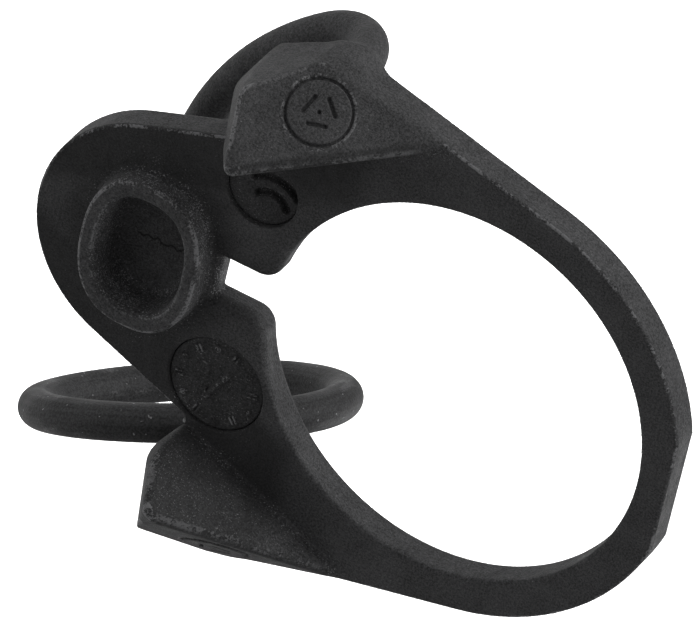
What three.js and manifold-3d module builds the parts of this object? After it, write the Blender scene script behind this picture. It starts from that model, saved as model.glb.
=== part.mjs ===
// Sling-mount end plate for a 30 mm threaded tube, with a rear bail and a loose round sling ring.
// Millimetres, +Z up, X across, Y along the tube. The origin is the centre of the tube hole on the
// plate's front face. The index boss and both wings stand out of that face towards -Y, the plate's
// back face is at +Y, and the bail hangs behind it.
import * as THREE from 'three';
import { ConvexGeometry } from 'three/addons/geometries/ConvexGeometry.js';
import { mergeVertices } from 'three/addons/utils/BufferGeometryUtils.js';
import Module from 'manifold-3d';

const wasm = await Module();
wasm.setup();

// Driving dimensions.
const SEAM = 0.3;                 // gap drawn between two regions of the one casting

const PLATE_THICKNESS = 2.56;
const HOLE_RADIUS = 15.1;         // clearance on the 30.2 mm tube
const BAND_RADIUS = 18.08;        // outside of the band round the tube
const FLAT_Z = 17.45;             // flat on top of the band
const WALL_ANGLE = 13.9;          // degrees that each outer wall flares from vertical
const BAND_BOTTOM_Z = -4.5;       // where the band ends and the yoke begins

const LOBE_Z = -24.19;
const LOBE_RADIUS = 9.94;
const LOBE_TANGENT_ANGLE = 21.3;  // degrees that the lobe's straight sides lean from vertical

const SLOT_HALF_WIDTH = 1.73;
const SLOT_BOTTOM_Z = -19.3;
const FINGER_RADIUS = 1.6;        // rounding where the slot opens into the hole

const DIAL_X = 8.82;
const DIAL_Z = -17.5;
const DIAL_DEPTH = 0.3;
const DATE_DIAL_RADIUS = 3.81;
const CAVITY_DIAL_RADIUS = 2.87;

const BOSS_Z = -24.8;
const BOSS_HEIGHT = 2.0;
const BOSS_HALF = [6.2, 4.7];     // half width (X) and half height (Z) at the rim
const BOSS_FLARE = 0.7;           // how far the base spreads past the rim
const SOCKET_HALF = [4.85, 3.55];
const SOCKET_FLOOR_Y = 1.3;       // the socket's floor lies inside the plate
const OVAL_POWER = 2.4;           // 2 is an ellipse, more is squarer

const BAIL_RADIUS = 1.5;          // of the rod
const BAIL_Y = 8.9;               // the arc's plane
const BAIL_ARC_RADIUS = 22.5;
const BAIL_ARC_Z = -4.5;          // centre of the arc
const BAIL_END_ANGLE = 66.2;      // degrees from straight down to each leg
const BAIL_BEND_RADIUS = 6.4;     // where the arc turns towards the wing

const RING_WIRE_RADIUS = 1.45;
const RING_RADIUS = 11.05;        // to the middle of the wire
const RING_CENTRE = [21.5, 12.75, -23.88];
const RING_NORMAL = [0.845, -0.342, 0.41];

// Corners of the wing on the +X side: the crown stands forward of the plate, the rest bounds
// the wing's foot at the plate's front and back faces.
const WING_TIP = [15.3, -9.1, -17.0];
const WING_HEEL_TOP = [20.0, -4.4, -19.06];
const WING_HEEL = [17.05, -0.2, -21.15];
const WING_HEEL_BACK = [19.5, PLATE_THICKNESS, -19.9];
const SHOULDER = [22.36, -15.0];
const SHOULDER_RISE = 0.8;
const TAIL = [19.94, -5.3];
const SEAM_TOP = [18.9, -5.4];    // the wing's inner edge runs from here ...
const SEAM_BOTTOM = [13.0, -19.4];  // ... to the notch beside the lobe
const NOTCH_BACK = [13.6, -18.0]; // the heel is undercut at the back, clear of the ring

const BLACK_PHOSPHATE = { color: 0x2b2b2d, roughness: 0.62, metalness: 0.75 };
const WORN_BLACK = { color: 0x2e2d2d, roughness: 0.45, metalness: 0.8 };

const radians = THREE.MathUtils.degToRad;

// Points on an arc in the X-Z plane, from one angle to another (degrees from +X towards +Z).
function arc(x, z, radius, from, to, steps) {
  const points = [];
  for (let i = 0; i <= steps; i += 1) {
    const angle = radians(from + ((to - from) * i) / steps);
    points.push([x + radius * Math.cos(angle), z + radius * Math.sin(angle)]);
  }
  return points;
}

// A half outline on the +X side, listed from top to bottom, closed by its mirror image.
function mirrored(half) {
  return [...half, ...half.toReversed().map(([x, z]) => [-x, z])];
}

// A closed superellipse round (0, z).
function oval(z, halfX, halfZ, steps = 64) {
  const points = [];
  for (let i = 0; i < steps; i += 1) {
    const angle = (2 * Math.PI * i) / steps;
    const c = Math.cos(angle);
    const s = Math.sin(angle);
    const x = halfX * Math.sign(c) * Math.abs(c) ** (2 / OVAL_POWER);
    points.push([x, z + halfZ * Math.sign(s) * Math.abs(s) ** (2 / OVAL_POWER)]);
  }
  return points;
}

// A prism with an X-Z outline, from Y = front to Y = back.
function prism(outline, front, back) {
  const shape = new THREE.Shape(outline.map(([x, z]) => new THREE.Vector2(x, z)));
  const geometry = new THREE.ExtrudeGeometry(shape, { depth: back - front, bevelEnabled: false });
  geometry.rotateX(Math.PI / 2);
  return geometry.translate(0, back, 0);
}

function disc(x, z, radius, front, back, sides = 64) {
  const geometry = new THREE.CylinderGeometry(radius, radius, back - front, sides);
  return geometry.translate(x, (front + back) / 2, z);
}

function toManifold(geometry) {
  const bare = geometry.clone();
  bare.deleteAttribute('normal');
  bare.deleteAttribute('uv');
  const merged = mergeVertices(bare, 1e-5);
  const mesh = new wasm.Mesh({
    numProp: 3,
    vertProperties: new Float32Array(merged.attributes.position.array),
    triVerts: new Uint32Array(merged.index.array),
  });
  return new wasm.Manifold(mesh);
}

function toGeometry(manifold) {
  const mesh = manifold.getMesh();
  const geometry = new THREE.BufferGeometry();
  geometry.setAttribute('position', new THREE.BufferAttribute(mesh.vertProperties, 3));
  geometry.setIndex(new THREE.BufferAttribute(mesh.triVerts, 1));
  return geometry;
}

function cut(body, ...tools) {
  let solid = toManifold(body);
  for (const tool of tools) {
    solid = solid.subtract(toManifold(tool));
  }
  return toGeometry(solid);
}

// X of the outer wall at a height, and of the lobe's straight side.
function wallX(z) {
  return (BAND_RADIUS - z * Math.sin(radians(WALL_ANGLE))) / Math.cos(radians(WALL_ANGLE));
}

function lobeSideX(z) {
  const lean = radians(LOBE_TANGENT_ANGLE);
  return (LOBE_RADIUS + (z - LOBE_Z) * Math.sin(lean)) / Math.cos(lean);
}

// The C-shaped band that goes round the tube, with the flat on top.
function tubeBand() {
  const flatX = Math.sqrt(BAND_RADIUS ** 2 - FLAT_Z ** 2);
  const flatAngle = THREE.MathUtils.radToDeg(Math.atan2(FLAT_Z, flatX));
  const outside = [
    ...arc(0, 0, BAND_RADIUS, flatAngle, WALL_ANGLE, 24),
    [wallX(BAND_BOTTOM_Z), BAND_BOTTOM_Z],
  ];
  const hole = disc(0, 0, HOLE_RADIUS, -1, PLATE_THICKNESS + 1, 128);
  return cut(prism(mirrored(outside), 0, PLATE_THICKNESS), hole);
}

// The hole and the slot below it as one outline, with the finger corners rounded.
function holeAndSlot() {
  const centreX = SLOT_HALF_WIDTH + FINGER_RADIUS;
  const centreZ = -Math.sqrt((HOLE_RADIUS + FINGER_RADIUS) ** 2 - centreX ** 2);
  const touch = THREE.MathUtils.radToDeg(Math.atan2(-centreZ, -centreX));
  const half = [
    ...arc(0, 0, HOLE_RADIUS, 90, touch - 180, 60).slice(1),
    ...arc(centreX, centreZ, FINGER_RADIUS, touch, 180, 6).slice(1),
    [SLOT_HALF_WIDTH, SLOT_BOTTOM_Z],
  ];
  return prism([[0, HOLE_RADIUS], ...mirrored(half)], -1, PLATE_THICKNESS + 1);
}

// A point on the wing's inner edge, moved towards the plate by the seam.
function besideSeam([x, z]) {
  const run = new THREE.Vector2(SEAM_TOP[0] - SEAM_BOTTOM[0], SEAM_TOP[1] - SEAM_BOTTOM[1]).normalize();
  return [x - run.y * SEAM, z + run.x * SEAM];
}

// The lower half of the plate: two fingers beside the slot, joined below it by the lobe.
function yokePlate() {
  const top = BAND_BOTTOM_Z - SEAM;
  const notch = besideSeam(SEAM_BOTTOM);
  const outside = [
    [besideSeam(SEAM_TOP)[0], top],
    besideSeam(SEAM_TOP),
    notch,
    [Math.min(notch[0], lobeSideX(notch[1])), notch[1]],
    ...arc(0, LOBE_Z, LOBE_RADIUS, -LOBE_TANGENT_ANGLE, -90, 24),
  ];
  return cut(
    prism(mirrored(outside), 0, PLATE_THICKNESS),
    holeAndSlot(),
    disc(DIAL_X, DIAL_Z, DATE_DIAL_RADIUS, -1, DIAL_DEPTH),
    disc(-DIAL_X, DIAL_Z, CAVITY_DIAL_RADIUS, -1, DIAL_DEPTH),
    prism(oval(BOSS_Z, ...SOCKET_HALF), -1, SOCKET_FLOOR_Y),
  );
}

// The oval collar on the lobe: a flared base, a straight rim and the socket through it.
function indexBoss() {
  const base = oval(BOSS_Z, BOSS_HALF[0] + BOSS_FLARE, BOSS_HALF[1] + BOSS_FLARE);
  const rim = oval(BOSS_Z, ...BOSS_HALF);
  const foot = base.map(([x, z]) => new THREE.Vector3(x, -SEAM, z));
  const crown = rim.map(([x, z]) => new THREE.Vector3(x, -BOSS_HEIGHT, z));
  const collar = new ConvexGeometry([...foot, ...crown]);
  return cut(collar, prism(oval(BOSS_Z, ...SOCKET_HALF), -BOSS_HEIGHT - 1, 1));
}

// A wing: a faceted wedge at the plate's edge, which stands forward and carries one bail leg.
function wing(side) {
  const front = ([x, z]) => [x, 0, z];
  const back = ([x, z]) => [x, PLATE_THICKNESS, z];
  const corners = [
    WING_TIP,
    WING_HEEL_TOP,
    WING_HEEL,
    WING_HEEL_BACK,
    [SHOULDER[0], -SHOULDER_RISE, SHOULDER[1]],
    back(SHOULDER),
    front(TAIL),
    back(TAIL),
    front(SEAM_TOP),
    back(SEAM_TOP),
    front(SEAM_BOTTOM),
    back(NOTCH_BACK),
  ];
  return new ConvexGeometry(corners.map(([x, y, z]) => new THREE.Vector3(side * x, y, z)));
}

// The bail's centre line: up the far wing's leg, down round the arc and up to the near wing.
class BailCurve extends THREE.Curve {
  constructor() {
    super();
    this.bend = BAIL_BEND_RADIUS / BAIL_ARC_RADIUS;
    const rise = BAIL_Y - PLATE_THICKNESS - SEAM;
    this.turn = Math.acos(1 - rise / BAIL_BEND_RADIUS);
    this.arcHalf = radians(BAIL_END_ANGLE) - this.bend;
    this.arcLength = this.arcHalf * BAIL_ARC_RADIUS;
    this.half = this.arcLength + this.turn * BAIL_BEND_RADIUS;
  }

  getPoint(t, target = new THREE.Vector3()) {
    const along = (2 * t - 1) * this.half;
    const distance = Math.abs(along);
    const turn = Math.max(0, distance - this.arcLength) / BAIL_BEND_RADIUS;
    const angle = Math.min(distance, this.arcLength) / BAIL_ARC_RADIUS + this.bend * Math.sin(turn);
    return target.set(
      Math.sign(along) * BAIL_ARC_RADIUS * Math.sin(angle),
      BAIL_Y - BAIL_BEND_RADIUS * (1 - Math.cos(turn)),
      BAIL_ARC_Z - BAIL_ARC_RADIUS * Math.cos(angle),
    );
  }
}

function bail() {
  const section = new THREE.Shape();
  section.absarc(0, 0, BAIL_RADIUS, 0, 2 * Math.PI, false);
  return new THREE.ExtrudeGeometry(section, {
    steps: 72,
    curveSegments: 16,
    bevelEnabled: false,
    extrudePath: new BailCurve(),
  });
}

function slingRing() {
  const geometry = new THREE.TorusGeometry(RING_RADIUS, RING_WIRE_RADIUS, 20, 72);
  const normal = new THREE.Vector3(...RING_NORMAL).normalize();
  const turn = new THREE.Quaternion().setFromUnitVectors(new THREE.Vector3(0, 0, 1), normal);
  return geometry.applyQuaternion(turn).translate(...RING_CENTRE);
}

function part(name, geometry, finish) {
  const mesh = new THREE.Mesh(geometry, new THREE.MeshStandardMaterial(finish));
  mesh.name = name;
  return mesh;
}

const endPlate = new THREE.Group();
endPlate.add(
  part('tube_band', tubeBand(), BLACK_PHOSPHATE),
  part('yoke_plate', yokePlate(), BLACK_PHOSPHATE),
  part('index_boss', indexBoss(), BLACK_PHOSPHATE),
  part('wing_right', wing(1), BLACK_PHOSPHATE),
  part('wing_left', wing(-1), BLACK_PHOSPHATE),
  part('bail', bail(), WORN_BLACK),
  part('sling_ring', slingRing(), WORN_BLACK),
);

export default endPlate;
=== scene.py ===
"""Sling-mount end plate: the visual model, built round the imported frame.

The casting is grown from a distance field, so that its fillets and worn edges run from one region
into the next. Lengths in the geometry code are millimetres in the frame's axes: X across, +Y to the
back, +Z up. MM turns them into Blender's metres.
"""
import math

import bmesh
import bpy
import numpy as np
from mathutils import Matrix, Vector


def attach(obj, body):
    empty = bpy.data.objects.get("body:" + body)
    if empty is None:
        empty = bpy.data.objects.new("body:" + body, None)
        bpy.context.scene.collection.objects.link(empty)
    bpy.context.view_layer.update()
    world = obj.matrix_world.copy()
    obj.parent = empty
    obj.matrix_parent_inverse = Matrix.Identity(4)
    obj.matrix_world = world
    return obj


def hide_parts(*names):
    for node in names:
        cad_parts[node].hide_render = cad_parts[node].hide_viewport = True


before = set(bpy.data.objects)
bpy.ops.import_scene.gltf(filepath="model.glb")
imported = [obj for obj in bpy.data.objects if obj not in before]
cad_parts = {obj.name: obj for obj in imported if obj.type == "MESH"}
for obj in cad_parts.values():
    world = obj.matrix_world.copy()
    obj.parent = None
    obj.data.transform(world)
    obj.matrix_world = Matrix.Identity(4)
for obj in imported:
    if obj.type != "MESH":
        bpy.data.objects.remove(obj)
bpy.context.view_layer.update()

MM = 0.001

# Driving dimensions. The outlines, the boss, the bail, the ring and the wings' corners have the
# CAD model's values.
PLATE = 2.56
PLATE_EDGE = 0.22                         # the rounding of the plate's outer edges
HOLE_RADIUS = 15.1
BAND_RADIUS = 18.08
FLAT_Z = 17.45
WALL_ANGLE = math.radians(13.9)
WALL_BOTTOM = -8.0
LOBE_Z = -24.19
LOBE_RADIUS = 9.94
LOBE_LEAN = math.radians(21.3)
SLOT_HALF = 1.73
SLOT_BOTTOM_Z = -19.3
FINGER_RADIUS = 1.6
NOTCH = (13.0, -19.4)

BOSS_Z = -24.8
BOSS_HEIGHT = 2.0
BOSS_HALF = (6.2, 4.7)
SOCKET_HALF = (4.85, 3.55)
SOCKET_FLOOR = 1.3
OVAL_POWER = 2.4

BAIL_RADIUS = 1.5
BAIL_Y = 8.9
BAIL_ARC = 22.5
BAIL_ARC_Z = -4.5
BAIL_END = math.radians(66.2)
BAIL_BEND = 6.4
BAIL_NEAREST_Y = -1.5                     # the bail's field is worked out only behind and below these
BAIL_HIGHEST_Z = -8

WING_TIP = (15.3, -9.1, -17.0)
HEEL_TOP = (20.0, -4.4, -19.06)
HEEL = (17.05, -0.2, -21.15)
HEEL_BACK = (19.5, PLATE, -19.9)
NOTCH_BACK = (13.6, PLATE, -18.0)
WING_MIDDLE = (17.5, -2.0, -16.0)         # any point well inside the wing
WING_TOP = 2.0                            # the wing's tail fades into the side wall below this Z

# Planes are an outward normal and an offset along it.
MARK_NORMAL = (0.714, -0.660, 0.233)
MARK_FACE = (MARK_NORMAL, 12.97)          # the wing's sloping outer face, which carries the mark
WING_SIDE = (-0.914, -0.129, 0.385)
INNER_FACE = (WING_SIDE, -19.3)           # the wing's inner face
SHOULDER_CUT = ((-0.562, -0.01, -0.827), 8.41)  # across the corner of the inner face and the end
OUTER_CUT = ((0.869, 0, -0.4925), 26.8)   # across the corner of the side wall and the end

MARK_CENTRE = (19.92, -3.03, -13.52)      # the round cast mark
MARK_POCKET = 2.5
MARK_POCKET_DEPTH = 0.3
MARK_DISC = 2.3

DIAL_CENTRE = (8.82, -17.5)               # X and Z; the cavity disc is at the mirrored X
DATE_DIAL = 3.81                          # radii of the two pockets
CAVITY_DISC = 2.87
DIAL_DEPTH = 1.1
DATE_DIAL_GAP = 0.05
CAVITY_DISC_GAP = 0.03
DATE_DIAL_SINK = 0.24                     # how far each disc's face lies below the plate's
CAVITY_DISC_SINK = 0.42
DISC_SKIRT = 0.6                          # how far a disc's side reaches down into its pocket

BAND_BOTTOM = -4.65                       # the cuts between the named regions of the casting
WING_SEAM = ((18.9, -5.4), (13.0, -19.4))  # X and Z at its two ends
WING_ROOT = 11                            # the wings lie beyond this X
BAIL_ROOT = PLATE + 0.15
BOSS_ROOT = -0.06

RING_WIRE = 1.45
RING_RADIUS = 11.1
RING_CENTRE = (21.5, 12.75, -23.88)
RING_NORMAL = (0.845, -0.342, 0.41)
RING_FRONT = (-0.5985, -0.7512, 0.2785)   # the side of the ring that its turns are counted from
RING_TWIST = math.radians(1.2)            # lifts the wire off the bail that it hangs on

STEP = 0.16        # the distance field's grid
GRID_X = 23.4
GRID_Y = (-10.2, 11.6)
GRID_Z = (-35.2, 18.4)
FAR = 9                                   # a distance well outside every radius used here


# Distance fields. Each is negative inside, and rounds what it joins by a radius.

def intersect(a, b, radius):
    """The field of what is inside both, with its edge rounded."""
    u = np.maximum(a + radius, 0)
    v = np.maximum(b + radius, 0)
    return np.minimum(np.maximum(a, b), -radius) + np.sqrt(u * u + v * v)


def unite(a, b, radius):
    """The field of what is inside either, with a fillet between them."""
    return -intersect(-a, -b, radius)


def blend_step(value, low, high):
    """0 up to low, 1 from high on, and a smooth rise between."""
    t = np.clip((value - low) / (high - low), 0, 1)
    return t * t * (3 - 2 * t)


def plane(x, y, z, normal, offset):
    """The distance in front of a plane."""
    length = math.sqrt(sum(c * c for c in normal))
    a, b, c = (component / length for component in normal)
    return a * x + b * y + c * z - offset / length


def plane_through(x, y, z, a, b, c, inside):
    """The plane through three points, with the fourth point behind it."""
    a, b, c, inside = (np.array(point, float) for point in (a, b, c, inside))
    normal = np.cross(b - a, c - a)
    if (inside - a) @ normal > 0:
        normal = -normal
    return plane(x, y, z, normal, float(normal @ a))


def outline_field(points, x, z):
    """Signed distance to a closed outline in the X-Z plane."""
    best = np.full(np.broadcast(x, z).shape, 1e9)
    inside = np.zeros(best.shape, bool)
    for (ax, az), (bx, bz) in zip(points, points[1:] + points[:1]):
        ex, ez = bx - ax, bz - az
        length = ex * ex + ez * ez
        if length < 1e-12:
            continue
        t = np.clip(((x - ax) * ex + (z - az) * ez) / length, 0, 1)
        best = np.minimum(best, (x - ax - t * ex) ** 2 + (z - az - t * ez) ** 2)
        crosses = ((az > z) != (bz > z)) & (x < ax + ex * (z - az) / (ez if ez else 1e-12))
        inside ^= crosses
    return np.where(inside, -1, 1) * np.sqrt(best)


def arc(x, z, radius, start, stop, steps):
    angles = np.linspace(start, stop, steps + 1)
    return [(x + radius * math.cos(a), z + radius * math.sin(a)) for a in angles]


def mirrored(half):
    """A whole outline from its +X half."""
    return half + [(-x, z) for x, z in reversed(half)]


def oval(z, half_x, half_z, steps=96):
    """A rounded box outline, centred on X = 0."""
    points = []
    for i in range(steps):
        c, s = math.cos(2 * math.pi * i / steps), math.sin(2 * math.pi * i / steps)
        x = half_x * math.copysign(abs(c) ** (2 / OVAL_POWER), c)
        points.append((x, z + half_z * math.copysign(abs(s) ** (2 / OVAL_POWER), s)))
    return points


def plate_outline():
    """The band with its flat top, the flared side walls, the notches and the lobe."""
    flat_angle = math.asin(FLAT_Z / BAND_RADIUS)
    notch_x, notch_z = NOTCH
    lobe_x = (LOBE_RADIUS + (notch_z - LOBE_Z) * math.sin(LOBE_LEAN)) / math.cos(LOBE_LEAN)
    wall_x = (BAND_RADIUS - WALL_BOTTOM * math.sin(WALL_ANGLE)) / math.cos(WALL_ANGLE)
    return mirrored(
        arc(0, 0, BAND_RADIUS, flat_angle, WALL_ANGLE, 40)
        + [(wall_x, WALL_BOTTOM), (notch_x + 0.8, notch_z + 0.4), (lobe_x, notch_z)]
        + arc(0, LOBE_Z, LOBE_RADIUS, -LOBE_LEAN, -math.pi / 2, 32)
    )


def hole_outline():
    """The tube hole, with round finger ends where it opens into the slot."""
    centre_x = SLOT_HALF + FINGER_RADIUS
    centre_z = -math.sqrt((HOLE_RADIUS + FINGER_RADIUS) ** 2 - centre_x ** 2)
    touch = math.atan2(-centre_z, -centre_x)
    return mirrored(
        arc(0, 0, HOLE_RADIUS, math.pi / 2, touch - math.pi, 120)
        + arc(centre_x, centre_z, FINGER_RADIUS, touch, math.pi, 8)[1:]
        + [(SLOT_HALF, SLOT_BOTTOM_Z)]
    )


def plate_field(x, y, z):
    """The flat plate, with the edges of its hole rounder beside the slot."""
    slab = np.abs(y - PLATE / 2) - PLATE / 2
    outer = outline_field(plate_outline(), x, z)
    hole = outline_field(hole_outline(), x, z)
    body = intersect(slab, outer, PLATE_EDGE)
    edge = 0.3 + 0.5 * blend_step(-z, 12.5, 15.5)
    return intersect(body, -hole, edge)


def wing_field(x, y, z):
    """The +X wing: a wedge between its planes, with its free edge rounded most."""
    mark = plane(x, y, z, *MARK_FACE)
    end = plane_through(x, y, z, WING_TIP, HEEL_TOP, HEEL, WING_MIDDLE) - 0.15
    end = intersect(end, plane(x, y, z, *SHOULDER_CUT), 0.7)
    end = intersect(end, plane_through(x, y, z, HEEL_TOP, HEEL, HEEL_BACK, WING_MIDDLE), 0.4)
    end = intersect(end, plane_through(x, y, z, HEEL, HEEL_BACK, NOTCH_BACK, WING_MIDDLE), 0.5)
    side = plane(x, y, z, *INNER_FACE)
    near_side = blend_step(side - end, -3.6, 0.2)
    wing = intersect(mark, intersect(side, end, 0.9), 0.15 + near_side)
    wing = intersect(wing, wall_field(x, z), 0.15)
    wing = intersect(wing, plane(x, y, z, *OUTER_CUT), 0.3)
    wing = np.maximum(wing, z - WING_TOP)
    return intersect(wing, y - PLATE, PLATE_EDGE)


def wall_field(x, z):
    """The +X side wall, which flares outwards as it goes down from the band."""
    return math.cos(WALL_ANGLE) * x + math.sin(WALL_ANGLE) * z - BAND_RADIUS


def bail_point(distance):
    """A point on the bail's centre line, this far from its lowest point."""
    bend = BAIL_BEND / BAIL_ARC
    arc_length = (BAIL_END - bend) * BAIL_ARC
    turn = max(0.0, distance - arc_length) / BAIL_BEND
    angle = min(distance, arc_length) / BAIL_ARC + bend * math.sin(turn)
    return (
        BAIL_ARC * math.sin(angle),
        BAIL_Y - BAIL_BEND * (1 - math.cos(turn)),
        BAIL_ARC_Z - BAIL_ARC * math.cos(angle),
    )


def bail_field(x, y, z):
    """The +X half of the bail: a round bar along its centre line, run into the plate."""
    bend = BAIL_BEND / BAIL_ARC
    rise = BAIL_Y - 0.6
    turn = math.acos(1 - min(rise, BAIL_BEND) / BAIL_BEND)
    length = (BAIL_END - bend) * BAIL_ARC + turn * BAIL_BEND
    points = [bail_point(-1.0)] + [bail_point(length * i / 60) for i in range(61)]
    end_x, end_y, end_z = points[-1]
    points.append((end_x, min(end_y, PLATE) - 1.2, end_z))
    best = np.full(np.broadcast(x, y, z).shape, 1e9, np.float32)
    for a, b in zip(points, points[1:]):
        ex, ey, ez = (q - p for p, q in zip(a, b))
        length = ex * ex + ey * ey + ez * ez
        if length < 1e-9:
            continue
        px, py, pz = x - a[0], y - a[1], z - a[2]
        t = np.clip((px * ex + py * ey + pz * ez) / length, 0, 1)
        best = np.minimum(best, (px - t * ex) ** 2 + (py - t * ey) ** 2 + (pz - t * ez) ** 2)
    return np.sqrt(best) - BAIL_RADIUS


def add_boss(body, x, y, z):
    """The casting with the index boss raised on it and the socket sunk in the boss."""
    collar = outline_field(oval(BOSS_Z, *BOSS_HALF), x, z) - 0.08 * (y + BOSS_HEIGHT)
    collar = intersect(collar, -(y + BOSS_HEIGHT), 0.25)
    collar = np.maximum(collar, y - PLATE / 2)
    body = unite(body, collar, 0.3)
    socket = outline_field(oval(BOSS_Z, *SOCKET_HALF), x, z) + 0.14 * (y + BOSS_HEIGHT)
    socket = intersect(socket, y - SOCKET_FLOOR, 0.9)
    return intersect(body, -socket, 0.45)


def cut_pocket(body, x, y, z, centre, normal, radius, depth):
    """A round sunk pocket, in a face that has this centre and outward normal."""
    nx, ny, nz = np.array(normal) / np.linalg.norm(normal)
    px, py, pz = x - centre[0], y - centre[1], z - centre[2]
    height = nx * px + ny * py + nz * pz
    out = np.sqrt(np.maximum(px * px + py * py + pz * pz - height * height, 0))
    return intersect(body, -np.maximum(out - radius, -height - depth), 0.06)


def casting_field(x, y, z):
    """The +X half of the casting, without the two pockets that differ from side to side."""
    fillet = 0.22 * blend_step(-wall_field(x, z), 0.1, 1.4) * blend_step(-y, -1.2, -0.2) + 0.01
    body = unite(plate_field(x, y, z), wing_field(x, y, z), fillet)
    behind = slice(np.searchsorted(y[0, :, 0], BAIL_NEAREST_Y), None)
    below = slice(0, np.searchsorted(z[0, 0], BAIL_HIGHEST_Z))
    bail = np.full(body.shape, FAR, np.float32)
    bail[:, behind, below] = bail_field(x, y[:, behind], z[:, :, below])
    body = unite(body, bail, 1.4)
    body = add_boss(body, x, y, z)
    return cut_pocket(body, x, y, z, MARK_CENTRE, MARK_NORMAL, MARK_POCKET, MARK_POCKET_DEPTH)


# Turning a field into a mesh.

def surface_nets(field, low, step):
    """The field's zero surface as vertices and quads, one vertex in each cell that it crosses."""
    cells = np.array(field.shape) - 1
    inside = field < 0
    rows, places = [], []
    for axis in range(3):
        first = tuple(slice(0, -1) if a == axis else slice(None) for a in range(3))
        second = tuple(slice(1, None) if a == axis else slice(None) for a in range(3))
        index = np.argwhere(inside[first] != inside[second])
        one = field[first][tuple(index.T)].astype(float)
        two = field[second][tuple(index.T)].astype(float)
        point = index.astype(float)
        point[:, axis] += one / (one - two)
        across = [a for a in range(3) if a != axis]
        corner = []
        for shift in ((0, 0), (-1, 0), (-1, -1), (0, -1)):
            cell = index.copy()
            cell[:, across[0]] += shift[0]
            cell[:, across[1]] += shift[1]
            corner.append((cell[:, 0] * cells[1] + cell[:, 1]) * cells[2] + cell[:, 2])
        quad = np.stack(corner, axis=1)
        flip = (one < 0) == (axis == 1)
        quad[flip] = quad[flip][:, ::-1]
        rows.append(quad)
        places.append(point)
    quads = np.concatenate(rows)
    points = np.repeat(np.concatenate(places), 4, axis=0)
    _, flat = np.unique(quads.ravel(), return_inverse=True)
    count = np.bincount(flat)
    verts = np.stack([np.bincount(flat, points[:, a]) / count for a in range(3)], axis=1)
    return np.array(low) + verts * step, flat.reshape(-1, 4)


def sample(field, low, step, points):
    """The field and its gradient at points between the grid's own."""
    place = (points - np.array(low)) / step
    base = np.clip(np.floor(place).astype(int), 0, np.array(field.shape) - 2)
    f = place - base
    value = np.zeros(len(points))
    slope = np.zeros((len(points), 3))
    for corner in np.ndindex(2, 2, 2):
        weight = [f[:, a] if corner[a] else 1 - f[:, a] for a in range(3)]
        at = field[tuple((base + corner).T)]
        value += at * weight[0] * weight[1] * weight[2]
        for a in range(3):
            b, c = [other for other in range(3) if other != a]
            slope[:, a] += at * (1 if corner[a] else -1) * weight[b] * weight[c]
    return value, slope / step


def field_surface(field, low, step):
    """The net's vertices, drawn onto the surface."""
    verts, quads = surface_nets(field, low, step)
    for _ in range(4):
        value, slope = sample(field, low, step, verts)
        verts -= slope * (value / np.maximum((slope * slope).sum(axis=1), 0.05))[:, None]
    return verts, quads


def unit_slope(field, low, step, points):
    """The surface's outward direction at each point."""
    _, slope = sample(field, low, step, points)
    return slope / np.maximum(np.linalg.norm(slope, axis=1), 1e-6)[:, None]


def curvature(field, low, step, points, reach=0.16):
    """How sharply the surface turns, per millimetre: positive on edges, negative in fillets."""
    total = np.zeros(len(points))
    for axis in range(3):
        shift = np.zeros(3)
        shift[axis] = reach
        for sign in (1, -1):
            total += sign * unit_slope(field, low, step, points + sign * shift)[:, axis]
    return total / (2 * reach)


def split(body, point, normal):
    """Cuts a closed mesh by a plane and caps it: the half ahead of the plane, and the half behind."""
    halves = []
    for behind in (False, True):
        half = body.copy()
        geometry = half.verts[:] + half.edges[:] + half.faces[:]
        cut = bmesh.ops.bisect_plane(half, geom=geometry, dist=1e-9, plane_co=point, plane_no=normal,
                                     clear_inner=not behind, clear_outer=behind)
        edge_points = [item for item in cut["geom_cut"] if isinstance(item, bmesh.types.BMVert)]
        bmesh.ops.remove_doubles(half, verts=edge_points, dist=0.004)
        rim = [edge for edge in half.edges if edge.is_boundary]
        bmesh.ops.triangle_fill(half, edges=rim, use_beauty=False, normal=normal)
        rest = [edge for edge in half.edges if edge.is_boundary]
        if rest:
            bmesh.ops.holes_fill(half, edges=rest, sides=0)
        halves.append(half)
    body.free()
    return halves


def corner_normals(mesh, normals):
    """Each corner's normal: the field's own, so that no seam shows, and a flat one on a cut."""
    corner_vertex = np.zeros(len(mesh.loops), int)
    mesh.loops.foreach_get("vertex_index", corner_vertex)
    face_normals = np.zeros(len(mesh.polygons) * 3)
    mesh.polygons.foreach_get("normal", face_normals)
    sizes = np.zeros(len(mesh.polygons), int)
    mesh.polygons.foreach_get("loop_total", sizes)
    flat = np.repeat(face_normals.reshape(-1, 3), sizes, axis=0)
    smooth = normals[corner_vertex]
    facing = (flat * smooth).sum(axis=1) > 0.55
    return np.where(facing[:, None], smooth, flat).tolist()


def grit_at(places, normals, from_boss, off_wing):
    """Where pale specks gather: the boss's walls, the wings' inner faces and their creases."""
    px, py, pz = places.T
    grit = np.clip((0.92 - np.abs(normals[:, 1])) / 0.3, 0, 1) * (from_boss < 1.3) * (py < 2.2)
    grit = np.maximum(grit, 0.55 * np.clip((1.45 - from_boss) / 0.3, 0, 1) * (np.abs(py) < 0.3))
    inward = np.clip((-np.sign(px) * normals[:, 0] - 0.6) / 0.2, 0, 1) * (py < -0.3) * (pz > -20)
    grit = np.maximum(grit, 0.5 * inward * (from_boss > 1.3))
    crease = np.clip(1.3 - np.abs(off_wing), 0, 1) * np.clip(1.2 - 2 * np.abs(py + 0.3), 0, 1)
    return np.maximum(grit, 0.85 * (np.abs(px) > WING_ROOT) * crease)


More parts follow.
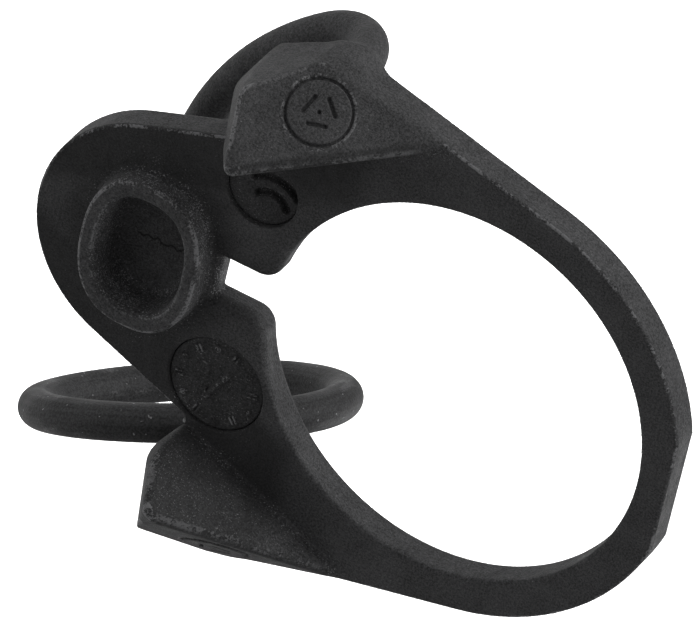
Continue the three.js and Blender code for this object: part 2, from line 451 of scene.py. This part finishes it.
def painted_shade_at(places, from_boss, off_wing):
    """Painted shade, where shade falls: round the boss, beside the slot, on the wings' inner faces and on
    the plate beside them.
    """
    px, py, pz = places.T
    slot = np.clip(1 - (np.abs(px) - SLOT_HALF) / 2.2, 0, 1) * (pz > BOSS_Z) * (pz < -15)
    round_boss = np.clip((1.7 - from_boss) / 0.45, 0, 1) * (from_boss > 1.02)
    painted_shade = np.maximum(round_boss, slot) * (np.abs(py - 0.2) < 0.7)
    shaded = np.where(py < -0.4, 1.05 * (off_wing < 0.5), 1.35 * blend_step(-off_wing, -5.8, -4))
    return np.maximum(painted_shade, shaded * (off_wing > -0.4) * (py < 0.3) * blend_step(-pz, 9, 12))


def bend_at(places, curve, on_wing, painted_highlight):
    """How worn or hollow the surface is: its curvature, stronger in front and quiet in the bore. It also
    carries painted light: the painted highlight on the wings' free edges is drawn as a rubbed edge, and the
    dial pockets' walls are set hollow so that the material darkens them as painted shade.
    """
    px, py, pz = places.T
    bend = curve * (1 + 0.6 * np.clip(-py / 1.5, 0, 1) + 0.3 * on_wing)
    # Painted highlight: the pale rim on the wings' free edges is raised to a rubbed edge.
    bend = np.maximum(bend, 3.1 * painted_highlight)
    in_slot = (np.abs(px) < SLOT_HALF + 0.8) & (pz > SLOT_BOTTOM_Z)
    bore = (np.hypot(px, pz) < HOLE_RADIUS + 0.8) | in_slot
    bend = np.where(bore, np.minimum(bend, 0.5), bend)
    for side, radius in ((1, DATE_DIAL), (-1, CAVITY_DISC)):
        from_dial = np.hypot(px - side * DIAL_CENTRE[0], pz - DIAL_CENTRE[1])
        pocket = (from_dial < radius + 0.35) & (np.abs(py) < 0.7)
        # Painted shade: the pockets' walls are set hollow, so the material darkens them.
        bend = np.where(pocket, np.where(py > 0.06, -2.5, 0), bend)
    return bend


def add_attribute(mesh, name, values):
    attribute = mesh.attributes.new(name, "FLOAT", "POINT")
    attribute.data.foreach_set("value", values.astype(np.float32))


def finish_region(name, region, field, low, step):
    """The mesh of one region, with its normals and what its material reads."""
    mesh = bpy.data.meshes.new(name)
    region.to_mesh(mesh)
    region.free()
    count = len(mesh.vertices)
    places = np.zeros(count * 3)
    mesh.vertices.foreach_get("co", places)
    places = places.reshape(-1, 3)
    normals = unit_slope(field, low, step, places)
    px, py, pz = places.T
    from_boss = np.hypot(px / BOSS_HALF[0], (pz - BOSS_Z) / BOSS_HALF[1])
    off_wing = plane(np.abs(px), py, pz, *INNER_FACE)
    on_wing = (np.abs(px) > WING_ROOT) * np.clip(-py - 0.2, 0, 1)
    folded = normals * np.stack([np.sign(px), np.ones(count), np.ones(count)], axis=1)
    free_edge = on_wing * (np.abs(folded @ np.cross(MARK_NORMAL, WING_SIDE)) < 0.25)
    turned = folded @ np.array(WING_SIDE)
    # Painted shade: a dark strip along the rounding of each wing's free edge, chosen by which way the
    # surface faces.
    painted_dark = free_edge * (blend_step(turned, -0.47, -0.3) - blend_step(turned, -0.1, 0.3))
    # Painted highlight: a pale rim further round that rounding, also chosen by facing; bend_at draws it as a
    # rubbed edge.
    painted_highlight = free_edge * (blend_step(turned, 0.45, 0.7) - blend_step(turned, 0.86, 0.97))
    painted_shade = np.maximum(painted_shade_at(places, from_boss, off_wing), 0.9 * painted_dark)
    add_attribute(mesh, "grit", grit_at(places, normals, from_boss, off_wing))
    add_attribute(mesh, "painted_shade", painted_shade)
    add_attribute(mesh, "bend", bend_at(places, curvature(field, low, step, places), on_wing, painted_highlight))
    corners = corner_normals(mesh, normals)
    mesh.transform(Matrix.Scale(MM, 4))
    mesh.shade_smooth()
    mesh.normals_split_custom_set(corners)
    return mesh


def axis_range(low, high, step):
    return np.arange(math.floor(low / step), math.ceil(high / step) + 1) * step


def casting_regions():
    """The casting as one surface, cut into its named regions."""
    x = axis_range(0, GRID_X, STEP)
    y = axis_range(*GRID_Y, STEP)
    z = axis_range(*GRID_Z, STEP)
    half = casting_field(
        x[:, None, None].astype(np.float32),
        y[None, :, None].astype(np.float32),
        z[None, None, :].astype(np.float32),
    ).astype(np.float32)
    field = np.concatenate([half[:0:-1], half], axis=0)
    wide = np.concatenate([-x[:0:-1], x])
    for side, radius in ((1, DATE_DIAL), (-1, CAVITY_DISC)):
        near = np.abs(wide - side * DIAL_CENTRE[0]) < radius + 1
        centre = (side * DIAL_CENTRE[0], 0, DIAL_CENTRE[1])
        field[near] = cut_pocket(field[near], wide[near, None, None], y[None, :, None], z[None, None, :],
                                 centre, (0, -1, 0), radius, DIAL_DEPTH)
    low = (wide[0], y[0], z[0])
    verts, quads = field_surface(field, low, STEP)
    whole = bpy.data.meshes.new("whole")
    whole.from_pydata(verts.tolist(), [], quads.tolist())
    body = bmesh.new()
    body.from_mesh(whole)
    bpy.data.meshes.remove(whole)
    band, body = split(body, (0, 0, BAND_BOTTOM), (0, 0, 1))
    bail, body = split(body, (0, BAIL_ROOT, 0), (0, 1, 0))
    (top_x, top_z), (low_x, low_z) = WING_SEAM
    across = (top_z - low_z, 0, low_x - top_x)
    right, body = split(body, (top_x, 0, top_z), across)
    left, body = split(body, (-top_x, 0, top_z), (-across[0], 0, across[2]))
    boss, yoke = split(body, (0, BOSS_ROOT, 0), (0, -1, 0))
    regions = {"tube_band": band, "yoke_plate": yoke, "index_boss": boss,
               "wing_right": right, "wing_left": left, "bail": bail}
    return {name: finish_region(name, region, field, low, STEP) for name, region in regions.items()}


def add_object(name, mesh, body, slot, *nodes):
    """A visible piece on its body, standing in for the CAD nodes that are named."""
    piece = bpy.data.objects.new(name, mesh)
    bpy.context.scene.collection.objects.link(piece)
    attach(piece, body)
    if nodes:
        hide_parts(*nodes)
    return piece


def ring_mesh(around=360, across=40):
    """Round wire bent to a circle that leaves its plane a little, with each point's place on the wire."""
    normal = np.array(RING_NORMAL) / np.linalg.norm(RING_NORMAL)
    front = np.array(RING_FRONT)
    along = np.cross(normal, front)
    along /= np.linalg.norm(along)
    near = np.cross(normal, along)
    if near @ front < 0:
        near = -near
        along = -along
    turns = np.linspace(0, 2 * math.pi, around, endpoint=False)
    twist = np.sin(turns) * np.sin(RING_TWIST * np.cos(turns)) * RING_RADIUS
    circle = RING_RADIUS * (np.cos(turns)[:, None] * along + np.sin(turns)[:, None] * near)
    middle = np.array(RING_CENTRE) + circle + twist[:, None] * normal
    ahead = np.roll(middle, -1, 0) - np.roll(middle, 1, 0)
    ahead /= np.linalg.norm(ahead, axis=1)[:, None]
    out = middle - np.array(RING_CENTRE)
    side = np.cross(ahead, out)
    side /= np.linalg.norm(side, axis=1)[:, None]
    out = np.cross(side, ahead)
    spins = np.linspace(0, 2 * math.pi, across, endpoint=False)
    section = np.cos(spins)[None, :, None] * out[:, None] + np.sin(spins)[None, :, None] * side[:, None]
    verts = (middle[:, None] + RING_WIRE * section).reshape(-1, 3)
    quads = []
    for i in range(around):
        for j in range(across):
            k = (j + 1) % across
            n = (i + 1) % around
            quads.append((i * across + j, i * across + k, n * across + k, n * across + j))
    mesh = bpy.data.meshes.new("ring")
    mesh.from_pydata((verts * MM).tolist(), [], quads)
    mesh.shade_smooth()
    wire = np.empty((around, across, 3), np.float32)
    wire[..., 0] = RING_WIRE * np.cos(spins)
    wire[..., 1] = RING_WIRE * np.sin(spins)
    wire[..., 2] = RING_RADIUS * turns[:, None]
    mesh.attributes.new("wire", "FLOAT_VECTOR", "POINT").data.foreach_set("vector", wire.ravel())
    return mesh


def bar(u, v, a, b, width):
    """1 along a bar's middle, falling to 0 at half its width."""
    ex, ez = b[0] - a[0], b[1] - a[1]
    t = np.clip(((u - a[0]) * ex + (v - a[1]) * ez) / (ex * ex + ez * ez), 0, 1)
    away = np.hypot(u - a[0] - t * ex, v - a[1] - t * ez)
    return blend_step(width / 2 - away, 0, width / 3)


def curved_bar(u, v, centre, radius, start, stop, width, pieces=14):
    """The same along an arc."""
    points = arc(centre[0], centre[1], radius, start, stop, pieces)
    return np.maximum.reduce([bar(u, v, a, b, width) for a, b in zip(points, points[1:])])


def relief_disc(name, centre, normal, radius, height, rings=90, spokes=300):
    """A disc whose face rises and sinks by a height function of its own plane, in millimetres."""
    normal = np.array(normal) / np.linalg.norm(normal)
    across = np.cross((0, 0, 1), normal)
    across /= np.linalg.norm(across)
    upward = np.cross(normal, across)
    reach = np.linspace(0, 1, rings + 1)[1:] * radius
    turn = np.linspace(0, 2 * math.pi, spokes, endpoint=False)
    u = np.concatenate([[0], (reach[:, None] * np.cos(turn)).ravel()])
    v = np.concatenate([[0], (reach[:, None] * np.sin(turn)).ravel()])
    shape = height(u, v)
    rise = shape - 0.07 * blend_step(np.hypot(u, v), radius - 0.1, radius) ** 2
    rim = slice(len(u) - spokes, None)
    u = np.append(u, u[rim])
    v = np.append(v, v[rim])
    rise = np.append(rise, np.full(spokes, -DISC_SKIRT))
    verts = np.array(centre) + u[:, None] * across + v[:, None] * upward + rise[:, None] * normal
    faces = [(0, 1 + k, 1 + (k + 1) % spokes) for k in range(spokes)]
    for ring_index in range(rings):
        base = 1 + ring_index * spokes
        for k in range(spokes):
            m = (k + 1) % spokes
            faces.append((base + k, base + spokes + k, base + spokes + m, base + m))
    last = 1 + rings * spokes
    faces.append(tuple(range(last, last + spokes))[::-1])
    mesh = bpy.data.meshes.new(name)
    mesh.from_pydata((verts * MM).tolist(), [], faces)
    # Raised marks read as worn edges; sunk strokes read as hollow, which paints shade into them.
    add_attribute(mesh, "bend", np.append(np.where(shape > 0, shape * 26, shape * 9), np.zeros(spokes)))
    add_attribute(mesh, "grit", np.full(len(verts), 0.4 if normal[1] < -0.9 else 0.1))
    work = bmesh.new()
    work.from_mesh(mesh)
    bmesh.ops.recalc_face_normals(work, faces=work.faces)
    work.to_mesh(mesh)
    work.free()
    mesh.shade_smooth()
    mesh.set_sharp_from_angle(angle=math.radians(50))
    return mesh


def date_dial_height(u, v):
    """Raised: a pointer with a two-barbed head, a short arc, and bars and small rings round the rim."""
    head, tail = (1.33, -0.59), (-1.26, 0.81)
    rise = 0.2 * bar(u, v, head, tail, 0.6)
    for barb in ((1.12, 0.0), (0.72, -0.72)):
        rise = np.maximum(rise, 0.14 * bar(u, v, head, barb, 0.3))
    rise = np.maximum(rise, 0.12 * curved_bar(u, v, (-0.9, -1.3), 0.5, 0.6, 4.4, 0.3))
    bar_from, bar_to, ring_at, ring_radius = 2.72, 3.26, 2.98, 0.2
    for mark in range(12):
        turn = math.radians(30 * mark + 9)
        c, s = math.cos(turn), math.sin(turn)
        for offset in ((-0.16, 0.16) if mark % 2 else (0,)):
            inner = (bar_from * c - offset * s, bar_from * s + offset * c)
            outer = (bar_to * c - offset * s, bar_to * s + offset * c)
            rise = np.maximum(rise, 0.16 * bar(u, v, inner, outer, 0.27))
        if mark % 2 == 0:
            from_ring = np.abs(np.hypot(u - ring_at * c, v - ring_at * s) - ring_radius)
            rise = np.maximum(rise, 0.14 * blend_step(0.13 - from_ring, 0, 0.1))
    return rise


def cavity_disc_height(u, v):
    """Two plain nested arcs, sunk."""
    centre, width = (1.5, 0.7), 0.8
    sunk = curved_bar(u, v, centre, 1.45, 2.0, 4.0, width)
    sunk = np.maximum(sunk, curved_bar(u, v, centre, 2.75, 2.35, 3.75, width))
    return -0.45 * sunk


def wing_mark_height(u, v):
    """Three plain bars round a dot, sunk."""
    away, half_length = 0.95, 0.65
    sunk = bar(u, v, (0, 0), (0.02, 0), 0.4)
    for third in range(3):
        turn = math.pi * third / 1.5 + 0.3
        c, s = math.cos(turn), math.sin(turn)
        one_end = (c * away - s * half_length, s * away + c * half_length)
        other_end = (c * away + s * half_length, s * away - c * half_length)
        sunk = np.maximum(sunk, bar(u, v, one_end, other_end, 0.42))
    return -0.2 * sunk - 0.02


# Materials.

class Shading:
    """A Principled material and short calls for the nodes that feed it."""

    def __init__(self, name, color, rough, specular=0.5):
        self.material = bpy.data.materials.new(name)
        self.material.use_nodes = True
        self.nodes = self.material.node_tree.nodes
        self.links = self.material.node_tree.links
        self.shader = self.nodes["Principled BSDF"]
        self.shader.inputs["Base Color"].default_value = (*color, 1)
        self.shader.inputs["Roughness"].default_value = rough
        self.shader.inputs["Specular IOR Level"].default_value = specular

    def feed(self, socket, value):
        if isinstance(value, bpy.types.NodeSocket):
            self.links.new(value, socket)
        else:
            socket.default_value = value

    def place(self):
        """The object's own coordinates, in millimetres."""
        node = self.nodes.new("ShaderNodeVectorMath")
        node.operation = "SCALE"
        self.feed(node.inputs[0], self.nodes.new("ShaderNodeTexCoord").outputs["Object"])
        node.inputs["Scale"].default_value = 1 / MM
        return node.outputs[0]

    def split(self, vector):
        node = self.nodes.new("ShaderNodeSeparateXYZ")
        self.feed(node.inputs[0], vector)
        return node.outputs

    def attribute(self, name, output="Fac"):
        node = self.nodes.new("ShaderNodeAttribute")
        node.attribute_name = name
        return node.outputs[output]

    def noise(self, vector, per_mm, detail=2.0, rough=0.5):
        node = self.nodes.new("ShaderNodeTexNoise")
        self.feed(node.inputs["Vector"], vector)
        node.inputs["Scale"].default_value = per_mm
        node.inputs["Detail"].default_value = detail
        node.inputs["Roughness"].default_value = rough
        return node.outputs["Fac"]

    def stretch(self, vector, scale):
        node = self.nodes.new("ShaderNodeVectorMath")
        node.operation = "MULTIPLY"
        self.feed(node.inputs[0], vector)
        node.inputs[1].default_value = scale
        return node.outputs[0]

    def math(self, operation, a, b=0.0):
        node = self.nodes.new("ShaderNodeMath")
        node.operation = operation
        self.feed(node.inputs[0], a)
        self.feed(node.inputs[1], b)
        return node.outputs[0]

    def ramp(self, value, low, high, to_low=0.0, to_high=1.0):
        node = self.nodes.new("ShaderNodeMapRange")
        node.interpolation_type = "SMOOTHSTEP"
        self.feed(node.inputs["Value"], value)
        for name, number in (("From Min", low), ("From Max", high), ("To Min", to_low), ("To Max", to_high)):
            node.inputs[name].default_value = number
        return node.outputs["Result"]

    def blend(self, share, a, b):
        node = self.nodes.new("ShaderNodeMix")
        node.data_type = "RGBA"
        self.feed(node.inputs["Factor"], share)
        self.feed(node.inputs[6], a if isinstance(a, bpy.types.NodeSocket) else (*a, 1))
        self.feed(node.inputs[7], b if isinstance(b, bpy.types.NodeSocket) else (*b, 1))
        return node.outputs[2]

    def bump(self, height, depth_mm, normal=None):
        node = self.nodes.new("ShaderNodeBump")
        node.inputs["Distance"].default_value = depth_mm * MM
        self.feed(node.inputs["Height"], height)
        if normal is not None:
            self.feed(node.inputs["Normal"], normal)
        return node.outputs["Normal"]

    def finish(self, color, rough, normal):
        self.feed(self.shader.inputs["Base Color"], color)
        self.feed(self.shader.inputs["Roughness"], rough)
        self.feed(self.shader.inputs["Normal"], normal)
        return self.material


def grey(level):
    """A grey with the faint blue of black oxide."""
    return (level, level, level * 1.03)


def hairline(s, place):
    """1 along the thin wavy line on the socket's floor."""
    px, py, pz = s.split(place)
    wave = s.noise(s.stretch(place, (0, 0, 1)), 0.6, 3.0, 0.6)
    wander = s.math("MULTIPLY", s.math("SUBTRACT", wave, 0.5), 2.4)
    away = s.math("ABSOLUTE", s.math("SUBTRACT", px, s.math("ADD", wander, 0.25)))
    along = s.math("ABSOLUTE", s.math("SUBTRACT", pz, BOSS_Z + 0.3))
    reach = s.math("MULTIPLY", s.ramp(along, 1.7, 2.1, 1.0, 0.0), s.ramp(py, 1.1, 1.2))
    reach = s.math("MULTIPLY", reach, s.ramp(py, 1.7, 1.9, 1.0, 0.0))
    return s.math("MULTIPLY", s.ramp(away, 0.05, 0.12, 1.0, 0.0), reach)


def phosphate(name, dark, light):
    """Matte black phosphate on a blasted casting: fine grain, pale specks, edges rubbed to grey, and painted
    shade in hollows and in the shaded places marked on the mesh.
    """
    s = Shading(name, grey(dark), 0.65, 0.25)
    place = s.place()
    bend = s.attribute("bend")
    grit = s.attribute("grit")
    grain = s.noise(place, 5.2, 2.0, 0.7)
    fine = s.noise(s.stretch(place, (1, 1.1, 0.9)), 8.5, 2.0, 0.7)
    cloud = s.noise(place, 0.3, 4.0, 0.6)
    patch = s.noise(place, 1.1, 3.0, 0.6)
    tone = s.math("ADD", s.ramp(cloud, 0.38, 0.64, 0.04, 0.22), s.ramp(grain, 0.36, 0.64, 0.0, 0.39))
    tone = s.math("ADD", tone, s.ramp(fine, 0.36, 0.64, 0.0, 0.39))
    color = s.blend(tone, grey(dark), grey(light))
    streak = s.noise(s.stretch(place, (0.9, 1.2, 0.45)), 1.0, 5.0, 0.65)
    scuff = s.math("MULTIPLY", s.ramp(streak, 0.6, 0.7), s.ramp(grain, 0.42, 0.6))
    color = s.blend(s.math("MULTIPLY", scuff, 0.35), color, grey(0.1))
    # Painted shade: hollows (fillets, the dial pockets' walls, sunk strokes) and the shaded places marked on
    # the mesh are mixed towards a darker grey; the hollows also draw more pale specks.
    hollow = s.ramp(bend, -2.5, -0.2, 1.0, 0.0)
    painted_dark = s.math("MULTIPLY", s.math("MAXIMUM", hollow, s.attribute("painted_shade")), 0.45)
    color = s.blend(painted_dark, color, grey(dark * 0.5))
    chance = s.math("ADD", s.ramp(cloud, 0.4, 0.7, -0.03, 0.03), s.math("MULTIPLY", grit, 0.12))
    chance = s.math("ADD", chance, s.math("MULTIPLY", hollow, 0.045))
    speck = s.ramp(s.math("ADD", fine, chance), 0.69, 0.76)
    color = s.blend(s.math("MULTIPLY", speck, 0.85), color, grey(0.2))
    edge = s.ramp(bend, 2.3, 3.9)
    worn = s.math("ADD", grain, s.ramp(patch, 0.35, 0.65, -0.1, 0.1))
    worn = s.math("ADD", s.ramp(cloud, 0.44, 0.62, -0.08, 0.16), worn)
    rubbed = s.math("MULTIPLY", edge, s.ramp(worn, 0.44, 0.66))
    color = s.blend(s.math("MULTIPLY", rubbed, 0.8), color, grey(0.15))
    rough = s.ramp(patch, 0.3, 0.7, 0.7, 0.86)
    rough = s.math("SUBTRACT", rough, s.math("MULTIPLY", rubbed, 0.15))
    crack = hairline(s, place)
    color = s.blend(s.math("MULTIPLY", crack, 0.8), color, grey(0.004))
    normal = s.bump(patch, 0.05)
    normal = s.bump(grain, 0.045, normal)
    normal = s.bump(fine, 0.035, normal)
    normal = s.bump(s.math("SUBTRACT", 1.0, crack), 0.05, normal)
    return s.finish(color, rough, normal)


def ring_black(name):
    """Satin black wire: drawn streaks along the wire, pale scuffs and a few nicks."""
    s = Shading(name, grey(0.03), 0.5, 0.22)
    place = s.place()
    wire = s.attribute("wire", "Vector")
    streak = s.noise(s.stretch(wire, (2.6, 2.6, 0.06)), 1.0, 3.0, 0.6)
    cloud = s.noise(place, 0.3, 3.0, 0.6)
    scuff = s.noise(s.stretch(wire, (0.5, 0.5, 0.2)), 1.0, 5.0, 0.65)
    grain = s.noise(place, 6.0, 2.0, 0.7)
    tone = s.math("ADD", s.ramp(streak, 0.36, 0.66, 0.0, 0.35), s.ramp(grain, 0.36, 0.64, 0.0, 0.65))
    color = s.blend(tone, grey(0.012), grey(0.042))
    worn = s.math("MULTIPLY", s.ramp(scuff, 0.54, 0.66), s.ramp(grain, 0.38, 0.58, 0.2, 1.0))
    color = s.blend(s.math("MULTIPLY", worn, 0.55), color, grey(0.12))
    nick = s.ramp(s.noise(place, 2.4, 1.0), 0.74, 0.78)
    color = s.blend(s.math("MULTIPLY", nick, 0.7), color, grey(0.25))
    rough = s.ramp(cloud, 0.3, 0.7, 0.6, 0.74)
    normal = s.bump(scuff, 0.04)
    normal = s.bump(streak, 0.03, normal)
    normal = s.bump(grain, 0.03, normal)
    return s.finish(color, rough, normal)


# The camera and the stage. AIM and DISTANCE are millimetres, as the part is.

AZIMUTH = math.radians(-38.5463)
ELEVATION = math.radians(16.1715)
ROLL = math.radians(116.252)
AIM = (-3.1529, -0.6522, -8.534)
DISTANCE = 1274.83
SENSOR = 36
VIEW_WIDTH = 7 / 180                      # what the frame spans at a distance of 1: a long lens
SHIFT = (-0.00118, -0.002408)

FLOOR_HALF = 12                           # in metres, as every length of the lights is
FLOOR_Z = -0.3
WORLD_STRENGTH = 0.27


def camera():
    """The photo's view: a turn and a height round the part, then a roll about the line of sight."""
    level = math.cos(ELEVATION)
    back = Vector((math.sin(AZIMUTH) * level, -math.cos(AZIMUTH) * level, math.sin(ELEVATION)))
    right = Vector((math.cos(AZIMUTH), math.sin(AZIMUTH), 0))
    up = back.cross(right)
    turned_right = math.cos(ROLL) * right + math.sin(ROLL) * up
    turned_up = math.cos(ROLL) * up - math.sin(ROLL) * right
    data = bpy.data.cameras.new("camera")
    data.sensor_width = SENSOR
    data.lens = SENSOR / VIEW_WIDTH
    data.shift_x, data.shift_y = SHIFT
    data.clip_start = 0.01
    data.clip_end = 20
    item = bpy.data.objects.new("camera", data)
    bpy.context.scene.collection.objects.link(item)
    place = (Vector(AIM) + back * DISTANCE) * MM
    item.matrix_world = Matrix((
        (turned_right.x, turned_up.x, back.x, place.x),
        (turned_right.y, turned_up.y, back.y, place.y),
        (turned_right.z, turned_up.z, back.z, place.z),
        (0, 0, 0, 1),
    ))
    bpy.context.scene.camera = item


def area_light(name, place, size, power, target=(0, 0, -0.01)):
    """A round soft light, turned to its target."""
    data = bpy.data.lights.new(name, "AREA")
    data.shape = "DISK"
    data.size = size
    data.energy = power
    item = bpy.data.objects.new(name, data)
    bpy.context.scene.collection.objects.link(item)
    item.location = place
    item.rotation_euler = (Vector(target) - Vector(place)).to_track_quat("-Z", "Y").to_euler()


def stage():
    """A pale floor far below, an even white surround, and three soft lights."""
    floor = bpy.data.meshes.new("floor")
    signs = ((-1, -1), (1, -1), (1, 1), (-1, 1))
    corners = [(FLOOR_HALF * x, FLOOR_HALF * y, FLOOR_Z) for x, y in signs]
    floor.from_pydata(corners, [], [(0, 1, 2, 3)])
    item = bpy.data.objects.new("floor", floor)
    bpy.context.scene.collection.objects.link(item)
    item.data.materials.append(Shading("floor", (0.8, 0.8, 0.8), 0.9).material)
    world = bpy.data.worlds.new("studio")
    bpy.context.scene.world = world
    world.use_nodes = True
    surround = world.node_tree.nodes["Background"]
    surround.inputs["Color"].default_value = (1, 1, 1, 1)
    surround.inputs["Strength"].default_value = WORLD_STRENGTH
    area_light("key", (-0.85, 0.4, 0.65), 0.9, 9.5)
    area_light("overhead", (-0.1, 0, 1.5), 1.5, 12, (0, 0, 0))
    area_light("backdrop", (0.62, 0.78, 0.3), 0.4, 9, (0.62, 0.78, -0.3))
    bpy.context.scene.view_settings.view_transform = "Standard"


camera()
stage()
casting_black = phosphate("casting_black", 0.011, 0.068)
dial_black = phosphate("dial_black", 0.007, 0.042)
for node, region_mesh in casting_regions().items():
    region_mesh.materials.append(casting_black)
    add_object(node + "_casting", region_mesh, "end_plate", "black_phosphate", node)

dial_x, dial_z = DIAL_CENTRE
date_centre = (dial_x, DATE_DIAL_SINK, dial_z)
cavity_centre = (-dial_x, CAVITY_DISC_SINK, dial_z)
left_mark_centre = (-MARK_CENTRE[0], *MARK_CENTRE[1:])
left_mark_normal = (-MARK_NORMAL[0], *MARK_NORMAL[1:])
details = [
    ("date_dial", date_centre, (0, -1, 0), DATE_DIAL - DATE_DIAL_GAP, date_dial_height),
    ("cavity_disc", cavity_centre, (0, -1, 0), CAVITY_DISC - CAVITY_DISC_GAP, cavity_disc_height),
    ("wing_mark_right", MARK_CENTRE, MARK_NORMAL, MARK_DISC, wing_mark_height),
    ("wing_mark_left", left_mark_centre, left_mark_normal, MARK_DISC, wing_mark_height),
]
for name, centre, normal, radius, height in details:
    disc_mesh = relief_disc(name, centre, normal, radius, height)
    disc_mesh.materials.append(casting_black if "mark" in name else dial_black)
    add_object(name, disc_mesh, "end_plate", "black_phosphate")

ring = add_object("ring", ring_mesh(), "ring", "black_ring", "sling_ring")
ring.data.materials.append(ring_black("ring_black"))
